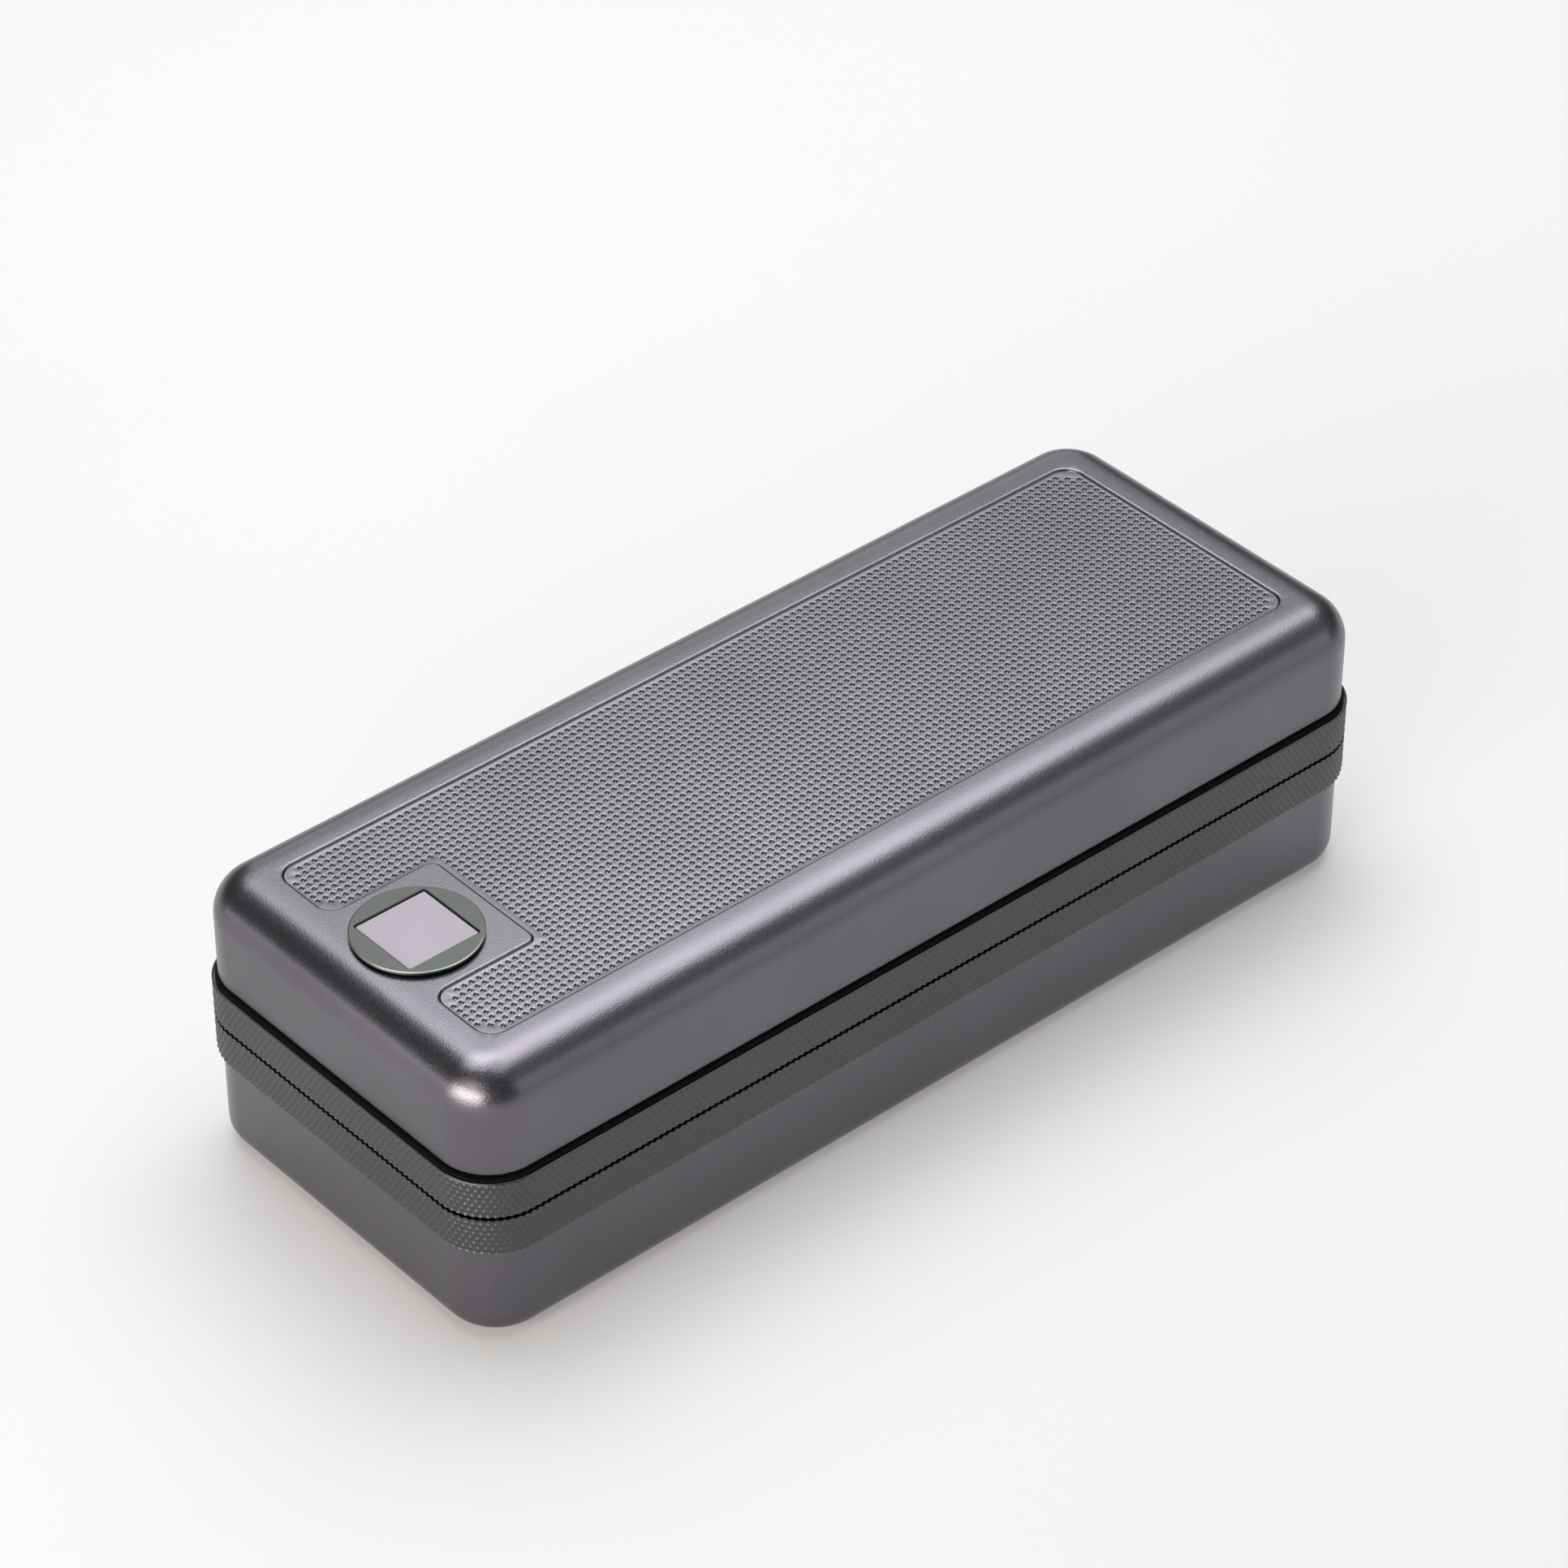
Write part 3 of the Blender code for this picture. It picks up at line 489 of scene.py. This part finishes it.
def make_upper_shell(paint):
    skin = Skin()
    edge = 0.5 * MM  # round on the lower edge of the lid wall
    step = SEAL_TOP + GAP
    inner = TOP_ROUND - LID_TOP
    round_z = LID_Z - TOP_ROUND
    ceiling = LID_Z - LID_TOP
    profile = arc(-WALL - inner, round_z, inner, 90, 0, 6)
    profile += [(-WALL, LID_RIM), (-SKIRT, LID_RIM), (-SKIRT, step)]
    profile += arc(-edge, step + edge, edge, -90, 0, 8)
    profile += crested_edge()
    ceiling_loop, top_loop = skin.strip(wall_loops(profile))

    soft = 0.5 * MM  # round on the edge of the recess
    recess = arc(-soft, LID_Z - soft, soft, 90, 0, 8) + [(0.0, LID_Z - RECESS_DEPTH)]
    loops = [at_height(panel_outline(distance), z) for distance, z in recess]
    recess_loop, floor_loop = skin.strip(loops)
    skin.fill(floor_loop)

    hole = STEM_RADIUS + GAP
    bore = FLANGE_RADIUS + GAP
    ledge = FLANGE_TOP + GAP
    skin.fill(top_loop, recess_loop)
    skin.fill(ceiling_loop)
    shell = skin.finish("lid_shell", paint["shell_metal"])
    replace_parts(shell, "upper_shell")
    steps = [(hole, LID_Z + MM), (hole, ledge), (bore, ledge), (bore, ceiling - MM)]
    cut(shell, [at_height(circle(radius), z, (BUTTON_X, 0.0)) for radius, z in steps])


def make_lower_shell(paint):
    skin = Skin()
    edge = 0.12 * MM
    step = RING_BASE - GAP
    inner = BASE_ROUND - WALL
    profile = arc(-BASE_ROUND, BASE_ROUND, BASE_ROUND, -90, 0, 20)
    profile += arc(-edge, step - edge, edge, 0, 90, 3)
    profile += [(-SKIRT, step), (-SKIRT, TUB_RIM), (-WALL, TUB_RIM)]
    profile += arc(-BASE_ROUND, BASE_ROUND, inner, 0, -90, 6)
    under, floor = skin.strip(wall_loops(profile))
    skin.fill(under)
    skin.fill(floor)
    shell = skin.finish("base_shell", paint["shell_metal"])
    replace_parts(shell, "lower_shell")
    flare = 0.35 * MM
    depths = ((flare, MM), (flare, 0.0), (0.0, -flare), (0.0, -2 * WALL))
    loops = []
    for grow, ahead in depths:
        path = rounded_rectangle(PORT_HALF_Y + GAP + grow, PORT_HALF_Z + GAP + grow, 2.3 * MM + grow)
        loops.append(facing_x(path, SHELL_X + ahead, (0.0, PORT_Z)))
    cut(shell, loops)


def ring_base_line():
    """Evenly spaced points round the ring's outer face, with their outward directions."""
    half_x = SHELL_X - CORNER
    half_y = SHELL_Y - CORNER
    radius = CORNER + RING_OUT
    count = KNURL_COLUMNS * 2 * KNURL_STEPS
    sides = [2 * half_y, math.pi / 2 * radius, 2 * half_x, math.pi / 2 * radius] * 2
    starts = np.concatenate(([0.0], np.cumsum(sides)))
    along = np.arange(count) * starts[-1] / count
    corners = ((half_x, half_y), (-half_x, half_y), (-half_x, -half_y), (half_x, -half_y))
    points = np.zeros((count, 2))
    outward = np.zeros((count, 2))
    for quarter, corner in enumerate(corners):
        heading = quarter * math.pi / 2
        face = np.array((math.cos(heading), math.sin(heading)))
        forward = np.array((-face[1], face[0]))
        side = 2 * quarter
        here = (along >= starts[side]) & (along < starts[side + 1])
        back = (starts[side + 1] - along[here])[:, None]
        points[here] = np.array(corner) + face * radius - forward * back
        outward[here] = face
        here = (along >= starts[side + 1]) & (along < starts[side + 2])
        turn = heading + (along[here] - starts[side + 1]) / radius
        outward[here] = np.column_stack((np.cos(turn), np.sin(turn)))
        points[here] = np.array(corner) + radius * outward[here]
    return points, outward


def knurl_height(columns, row):
    """Relief from 0 in a valley to 1 on a point, for points staggered from row to row."""
    pitch = KNURL_PITCH
    across = columns / (2 * KNURL_STEPS) * pitch
    near = np.zeros(len(columns))
    for line in (math.floor(row), math.floor(row) + 1):
        shift = 0.5 * pitch if line % 2 else 0.0
        sideways = (across - shift + pitch / 2) % pitch - pitch / 2
        away = np.hypot(sideways, (row - line) * KNURL_ROW)
        bump = np.clip(1 - away / KNURL_RADIUS, 0, 1)
        near = np.maximum(near, bump * bump * (3 - 2 * bump))
    return near


def make_grip_ring(name, node, foot, head, lip, paint):
    """Half of the grip ring: a knurled face, rounded rims and the plain faces behind it."""
    points, outward = ring_base_line()
    columns = np.arange(len(points), dtype=float)
    inside = -SKIRT + GAP
    valley = RING_OUT - KNURL_DEPTH
    smooth = 0.35 * MM if lip else 0.0  # plain band under the upper rim
    strips = 4 * round((head - foot) / KNURL_ROW)
    profile = [(inside, foot, 0.0), (valley - 0.1 * MM, foot, 0.0)]
    for k in range(strips + 1):
        profile.append((RING_OUT, foot + (head - smooth - foot) * k / strips, 1.0))
    if lip:
        back = SEAL_OUT + GAP - 0.08 * MM
        chamfer = 0.12 * MM
        profile.append((RING_OUT - 0.04 * MM, head - 0.8 * smooth, 0.0))
        profile.append((RING_OUT - 0.04 * MM, head - chamfer, 0.0))
        profile.append((max(back + 0.02 * MM, RING_OUT - 0.04 * MM - chamfer), head, 0.0))
        profile += [(back, head, 0.0), (back, SEAL_BASE - GAP, 0.0)]
        profile.append((inside, SEAL_BASE - GAP, 0.0))
    else:
        profile += [(valley - 0.1 * MM, head, 0.0), (inside, head, 0.0)]
    loops = []
    for offset, z, relief in profile:
        drop = 0.0
        if relief:
            row = (z - foot) / KNURL_ROW if lip else (head - z) / KNURL_ROW + 1
            drop = KNURL_DEPTH * (1 - knurl_height(columns, row))
        path = points + outward * (np.zeros(len(points)) + offset - RING_OUT - drop)[:, None]
        loops.append(at_height(path, z))
    skin = Skin()
    skin.strip(loops, closed=True)
    ring = skin.finish(name, paint["ring_metal"], sharp=60.0, weighted=False)
    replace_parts(ring, node)


def make_seals(paint):
    seal_in = -SKIRT + GAP
    soft = 0.1 * MM
    profile = [(seal_in, SEAL_BASE), (SEAL_OUT, SEAL_BASE)]
    profile += arc(SEAL_OUT - soft, SEAL_TOP - soft, soft, 0, 90, 4)
    profile.append((seal_in, SEAL_TOP))
    skin = Skin()
    skin.strip(wall_loops(profile), closed=True)
    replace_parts(skin.finish("gap_seal", paint["black_rubber"]), "shadow_seal")
    base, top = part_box("rim_gasket")[0].z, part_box("rim_gasket")[1].z
    soft = (top - base) / 4
    profile = [(-WALL, base), (-WALL, top)]
    profile += arc(-SKIRT - soft, top - soft, soft, 90, 0, 3)
    profile += arc(-SKIRT - soft, base + soft, soft, 0, -90, 3)
    skin = Skin()
    skin.strip(wall_loops(profile), closed=True)
    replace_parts(skin.finish("gasket", paint["black_rubber"]), "rim_gasket")


# ------------------------------------------------------------------ the dimpled panel


def inside_panel(x, y, margin):
    """Whether points lie inside the panel's outline, at least the margin away from it."""
    def rounded(px, py, half_x, half_y, radius):
        qx = np.maximum(np.abs(px) - (half_x - radius), 0)
        qy = np.maximum(np.abs(py) - (half_y - radius), 0)
        return (np.hypot(qx, qy) <= radius) & (np.abs(px) <= half_x) & (np.abs(py) <= half_y)

    whole = rounded(x, y, PANEL_X - margin, PANEL_Y - margin, PANEL_ROUND - margin)
    notch = rounded(x + PANEL_X, y, PANEL_X + NOTCH_X + margin, NOTCH_Y + margin, NOTCH_ROUND + margin)
    lobe_x = x + PANEL_X - margin - LOBE_ROUND  # from the middle of a lobe's inner corner arc
    lobe_y = NOTCH_Y + LOBE_ROUND - np.abs(y)
    beyond = (lobe_x < 0) & (lobe_y > 0) & (np.hypot(lobe_x, lobe_y) > LOBE_ROUND - margin)
    return whole & ~notch & ~beyond


def dimple_cell(half_x, half_y):
    """Points of one dimple and of the square round it, and the faces between them."""
    sides = DIMPLE_SIDES
    turns = np.arange(sides) * 2 * math.pi / sides
    rings = ((0.55, 0.72), (1.0, 0.12))  # share of the radius and of the depth
    points = [(0.0, 0.0, -DIMPLE_DEPTH)]
    for share, sunk in rings:
        for turn in turns:
            reach = DIMPLE_RADIUS * share
            points.append((reach * math.cos(turn), reach * math.sin(turn), -DIMPLE_DEPTH * sunk))
    for turn in turns:
        stretch = 1 / max(abs(math.cos(turn)), abs(math.sin(turn)))
        points.append((half_x * math.cos(turn) * stretch, half_y * math.sin(turn) * stretch, 0.0))
    faces = [(0, 1 + k, 1 + (k + 1) % sides) for k in range(sides)]
    for start in (1, 1 + sides):
        for k in range(sides):
            j = (k + 1) % sides
            faces.append((start + k, start + sides + k, start + sides + j, start + j))
    return np.array(points), faces


def make_grip_panel(paint):
    """The panel: a square lattice of dimples, a plain margin round it and an upright edge."""
    pitch_x = DIMPLE_SPAN_X / (DIMPLE_COLUMNS - 1)
    pitch_y = DIMPLE_SPAN_Y / (DIMPLE_ROWS - 1)
    xs, ys = np.meshgrid(
        (np.arange(DIMPLE_COLUMNS) - (DIMPLE_COLUMNS - 1) / 2) * pitch_x,
        (np.arange(DIMPLE_ROWS) - (DIMPLE_ROWS - 1) / 2) * pitch_y,
    )
    edge = 0.06 * MM  # the panel's edge inside the recess
    keep = np.ones(xs.shape, bool)
    for side_x in (-0.5, 0.5):
        for side_y in (-0.5, 0.5):
            keep &= inside_panel(xs + side_x * pitch_x, ys + side_y * pitch_y, edge + 0.06 * MM)
    centres = np.column_stack((xs[keep], ys[keep]))
    cell, faces = dimple_cell(pitch_x / 2, pitch_y / 2)
    middles = np.column_stack((centres, np.full(len(centres), PANEL_TOP)))
    points = (cell[None, :, :] + middles[:, None, :]).reshape(-1, 3)
    merge = 0.002 * MM  # points closer than this are one point of two neighbouring cells
    keys = np.round(points / merge).astype(np.int64)
    _, first, index = np.unique(keys, axis=0, return_index=True, return_inverse=True)
    index = index.reshape(-1)

    skin = Skin()
    verts = [skin.bm.verts.new(p) for p in points[first]]
    for start in range(0, len(points), len(cell)):
        for face in faces:
            skin.bm.faces.new([verts[index[start + k]] for k in face])
    rim = [e for e in skin.bm.edges if len(e.link_faces) == 1]
    heights = (PANEL_TOP, PANEL_BASE)
    outline, under = skin.strip([at_height(panel_outline(edge), z) for z in heights])
    outline_edges = [skin.bm.edges.get((outline[i - 1], outline[i])) for i in range(len(outline))]
    margin = rim + outline_edges
    bmesh.ops.triangle_fill(skin.bm, use_beauty=True, use_dissolve=False, edges=margin)
    skin.fill(under)
    panel = skin.finish("dimpled_panel", paint["panel_metal"], weighted=False)
    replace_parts(panel, "grip_panel")


# ------------------------------------------------------------------ the button


def make_button(paint):
    middle = (BUTTON_X, 0.0)
    skin = Skin()
    chamfer = PLATE_CHAMFER
    plate_base = BUTTON_TOP - PLATE_THICK
    profile = [(FLANGE_RADIUS, BUTTON_BASE), (FLANGE_RADIUS, FLANGE_TOP), (STEM_RADIUS, FLANGE_TOP)]
    profile += [(STEM_RADIUS, plate_base), (PLATE_RADIUS, plate_base)]
    profile.append((PLATE_RADIUS, BUTTON_TOP - 0.6 * chamfer))
    profile.append((PLATE_RADIUS - 0.1 * chamfer, BUTTON_TOP - 0.45 * chamfer))
    profile.append((PLATE_RADIUS - chamfer, BUTTON_TOP))
    base_loop, top_loop = skin.strip([at_height(circle(r, 160), z, middle) for r, z in profile])

    pocket = WINDOW_HALF + 0.22 * MM
    well = high("display_module").x - BUTTON_X + GAP
    floor = low("display_window").z - GAP
    lead = 0.12 * MM
    steps = [(pocket + lead, BUTTON_TOP), (pocket, BUTTON_TOP - lead), (pocket, floor)]
    loops = [at_height(rounded_rectangle(h, h, 0.35 * MM + h - pocket), z, middle) for h, z in steps]
    pocket_loop, floor_loop = skin.strip(loops)
    outline = rounded_rectangle(well, well, 0.3 * MM)
    well_top, well_base = skin.strip([at_height(outline, z, middle) for z in (floor, BUTTON_BASE)])
    skin.fill(top_loop, pocket_loop)
    skin.fill(floor_loop, well_top)
    skin.fill(base_loop, well_base)
    cap = skin.finish("display_button", paint["cap_metal"], "button", sharp=20.0)
    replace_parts(cap, "button_cap")

    half = WINDOW_HALF + 0.1 * MM
    top = high("display_window").z
    soft = 0.1 * MM
    profile = [(half, low("display_window").z)] + arc(half - soft, top - soft, soft, 0, 90, 4)
    skin = Skin()
    loops = [at_height(rounded_rectangle(h, h, 0.3 * MM + h - half), z, middle) for h, z in profile]
    under, over = skin.strip(loops)
    skin.fill(under)
    skin.fill(over)
    window = skin.finish("status_window", paint["window_plastic"], "button")
    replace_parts(window, "display_window")


# ------------------------------------------------------------------ the sockets


def socket_paths(node):
    """The middle (y, z) and the half sizes of a socket's shell."""
    first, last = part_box(node)
    middle = ((first.y + last.y) / 2, (first.z + last.z) / 2)
    return middle, (last.y - first.y) / 2, (last.z - first.z) / 2


SOCKETS = (("usb_a_shell", 0.6 * MM), ("usb_c_shell_1", 1.5 * MM), ("usb_c_shell_2", 1.5 * MM))


def make_port_plate(paint):
    first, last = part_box("port_plate")
    skin = Skin()
    soft = 0.25 * MM
    profile = [(0.0, first.x)] + arc(-soft, last.x - soft, soft, 0, 90, 4)
    loops = []
    for offset, x in profile:
        path = rounded_rectangle(PORT_HALF_Y + offset, PORT_HALF_Z + offset, 2.0 * MM + offset)
        loops.append(facing_x(path, x, (0.0, PORT_Z)))
    back, front = skin.strip(loops)
    skin.fill(back)
    skin.fill(front)
    plate = skin.finish("socket_plate", paint["black_plastic"])
    flare = 0.3 * MM
    for node, radius in SOCKETS:
        middle, half_y, half_z = socket_paths(node)
        depths = ((flare, last.x + MM), (flare, last.x), (0.0, last.x - flare), (0.0, first.x - MM))
        loops = []
        for grow, x in depths:
            path = rounded_rectangle(half_y + GAP + grow, half_z + GAP + grow, radius + GAP + grow)
            loops.append(facing_x(path, x, middle))
        cut(plate, loops)
    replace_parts(plate, "port_plate")


def make_socket_shell(node, radius, paint):
    """A drawn shell, rolled round at its mouth and closed at its back."""
    first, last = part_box(node)
    middle, half_y, half_z = socket_paths(node)
    thick = 0.3 * MM
    lip = thick / 2
    profile = [(0.0, first.x)] + arc(-lip, last.x - lip, lip, 0, 180, 8)
    profile.append((-thick, first.x + 2 * thick))
    loops = []
    for offset, x in profile:
        path = rounded_rectangle(half_y + offset, half_z + offset, radius + offset)
        loops.append(facing_x(path, x, middle))
    skin = Skin()
    back, inner = skin.strip(loops)
    skin.fill(back)
    skin.fill(inner)
    shell = skin.finish(node.replace("shell", "drawn_shell"), paint["steel"])
    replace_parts(shell, node)


def make_tongue(node, pads, pad_half, paint):
    """A moulded tongue with a thinned tip and gold contacts let into its faces."""
    first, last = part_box(node)
    middle = ((first.y + last.y) / 2, (first.z + last.z) / 2)
    half_y, half_z = (last.y - first.y) / 2, (last.z - first.z) / 2
    radius = min(half_z * 0.6, 0.3 * MM)
    nose = 0.25 * MM
    profile = ((0.0, first.x), (0.0, last.x - nose), (-radius / 2, last.x))
    loops = []
    for offset, x in profile:
        path = rounded_rectangle(half_y + offset, half_z + offset, radius + offset)
        loops.append(facing_x(path, x, middle))
    skin = Skin()
    back, front = skin.strip(loops)
    skin.fill(back)
    skin.fill(front)
    name = node.replace("tongue", "moulded_tongue")
    tongue = skin.finish(name, paint["black_plastic"])
    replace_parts(tongue, node)

    skin = Skin()
    proud = 0.02 * MM
    start, end = last.x - 4.5 * MM, last.x - 0.6 * MM
    for side in (-1, 1):
        for k in range(pads):
            y = middle[0] + (k - (pads - 1) / 2) * (2 * half_y - 1.2 * MM) / pads
            outer = middle[1] + side * (half_z + proud)
            inner = middle[1] + side * (half_z - 0.1 * MM)
            near, far = y - pad_half, y + pad_half
            corners = [(start, near), (end, near), (end, far), (start, far)]
            base, top = skin.strip([[(px, py, z) for px, py in corners] for z in (inner, outer)])
            skin.bm.faces.new(base)
            skin.bm.faces.new(top)
    name = node.replace("tongue", "contacts")
    skin.finish(name, paint["contact_gold"], weighted=False)


def make_sockets(paint):
    make_port_plate(paint)
    for node, radius in SOCKETS:
        make_socket_shell(node, radius, paint)
    make_tongue("usb_a_tongue", 4, 0.6 * MM, paint)
    for number in (1, 2):
        make_tongue(f"usb_c_tongue_{number}", 12, 0.13 * MM, paint)


# ------------------------------------------------------------------ inside and studio


def paint_carried_over(paint):
    """Every CAD node keeps its shape or is replaced; all get their finished material."""
    slots = {row["node"]: row["material_slot"] for row in frame["record"]["subparts"]}
    for node, item in frame["nodes"].items():
        item.data.materials.clear()
        item.data.materials.append(paint[slots[node]])


def aimed(item, place, target):
    item.location = place
    item.rotation_mode = "QUATERNION"
    item.rotation_quaternion = (Vector(target) - Vector(place)).to_track_quat("-Z", "Y")
    bpy.context.scene.collection.objects.link(item)


def soft_box(name, azimuth, elevation, distance, width, height, power, colour=(1.0, 1.0, 1.0)):
    """A soft box facing the object; its azimuth runs from +X toward +Y."""
    level = math.cos(math.radians(elevation))
    across = Vector((math.cos(math.radians(azimuth)), math.sin(math.radians(azimuth)), 0.0)) * level
    away = across + Vector((0.0, 0.0, math.sin(math.radians(elevation))))
    light = bpy.data.lights.new(name, "AREA")
    light.shape = "RECTANGLE"
    light.size = width
    light.size_y = height
    light.energy = power
    light.color = colour
    target = Vector((0.0, 0.0, 0.02))
    aimed(bpy.data.objects.new(name, light), target + away * distance, target)


def make_studio():
    world = bpy.data.worlds.new("studio_air")
    world.use_nodes = True
    world.node_tree.nodes["Background"].inputs["Color"].default_value = (1.0, 1.0, 1.0, 1.0)
    world.node_tree.nodes["Background"].inputs["Strength"].default_value = 0.12
    bpy.context.scene.world = world
    warm = (1.0, 0.97, 0.92)
    soft_box("back_high", 50, 58, 0.85, 1.0, 0.5, 3.2)
    soft_box("back_near", 30, 60, 0.7, 0.6, 0.5, 1.2)
    soft_box("overhead", 20, 80, 0.85, 0.8, 0.6, 3.3)
    soft_box("overhead_left", 120, 72, 0.85, 0.5, 0.4, 1.8)
    soft_box("left_low", 195, 14, 0.8, 0.7, 0.25, 2.9, warm)
    soft_box("left_near", 190, 10, 0.6, 0.6, 0.28, 1.9, (1.0, 0.94, 0.86))
    soft_box("left_high", 197, 34, 0.85, 0.4, 0.3, 0.7, warm)
    soft_box("left_back", 148, 6, 0.85, 0.5, 0.12, 0.35)
    soft_box("right_low", 303, 15, 0.85, 0.6, 0.4, 0.6)
    soft_box("right_high", 312, 38, 0.85, 0.9, 0.5, 0.3)
    soft_box("back_low", 55, 20, 0.85, 0.5, 0.3, 0.6)

    skin = Skin()
    reach = 30.0
    corners = [(-reach, -reach, 0.0), (reach, -reach, 0.0), (reach, reach, 0.0), (-reach, reach, 0.0)]
    skin.bm.faces.new(skin.loop(corners))
    mesh = bpy.data.meshes.new("floor")
    skin.bm.to_mesh(mesh)
    skin.bm.free()
    floor = bpy.data.objects.new("floor", mesh)
    bpy.context.scene.collection.objects.link(floor)
    tree = Tree("pale_floor")
    slow = tree.noise(3.0, 2.0)
    tone = tree.mix(tree.spread(slow, 0.0, 1.0), (0.51, 0.51, 0.515, 1), (0.53, 0.53, 0.53, 1))
    tree.set(tree.shader, Base_Color=tone, Roughness=0.9, Specular_IOR_Level=0.0)
    tree.set(tree.shader, Emission_Color=(1.0, 0.96, 0.94, 1), Emission_Strength=0.19)
    mesh.materials.append(tree.material)


def make_camera():
    """The camera looks down on the lid from the button's corner, with a long lens."""
    azimuth = math.radians(-41.21)
    elevation = math.radians(37.71)
    distance = 755.7 * MM
    lid_in_view = Vector((1.75, 6.68)) * MM  # where the lid's middle lies, right of and above centre
    right = Vector((math.cos(azimuth), math.sin(azimuth), 0.0))
    level = math.cos(elevation)
    back = Vector((math.sin(azimuth) * level, -math.cos(azimuth) * level, math.sin(elevation)))
    up = back.cross(right)
    camera = bpy.data.cameras.new("camera")
    camera.sensor_width = 36.0
    camera.lens = 129.5
    camera.clip_start = 0.01
    item = bpy.data.objects.new("camera", camera)
    lid_middle = Vector((0.0, 0.0, PANEL_TOP))
    place = lid_middle + back * distance - right * lid_in_view.x - up * lid_in_view.y
    aimed(item, place, place - back)
    bpy.context.scene.camera = item
    bpy.context.scene.view_settings.view_transform = "Standard"


def main():
    paint = make_materials()
    paint_carried_over(paint)
    make_upper_shell(paint)
    make_lower_shell(paint)
    ease = 0.14 * MM  # the seam opens a little between the worn rims
    make_grip_ring("knurled_ring_upper", "upper_grip_ring", SEAM_TOP + ease, RING_TOP, True, paint)
    make_grip_ring("knurled_ring_lower", "lower_grip_ring", RING_BASE, SEAM_BASE - ease, False, paint)
    make_seals(paint)
    make_grip_panel(paint)
    make_button(paint)
    make_sockets(paint)
    make_studio()
    make_camera()


main()
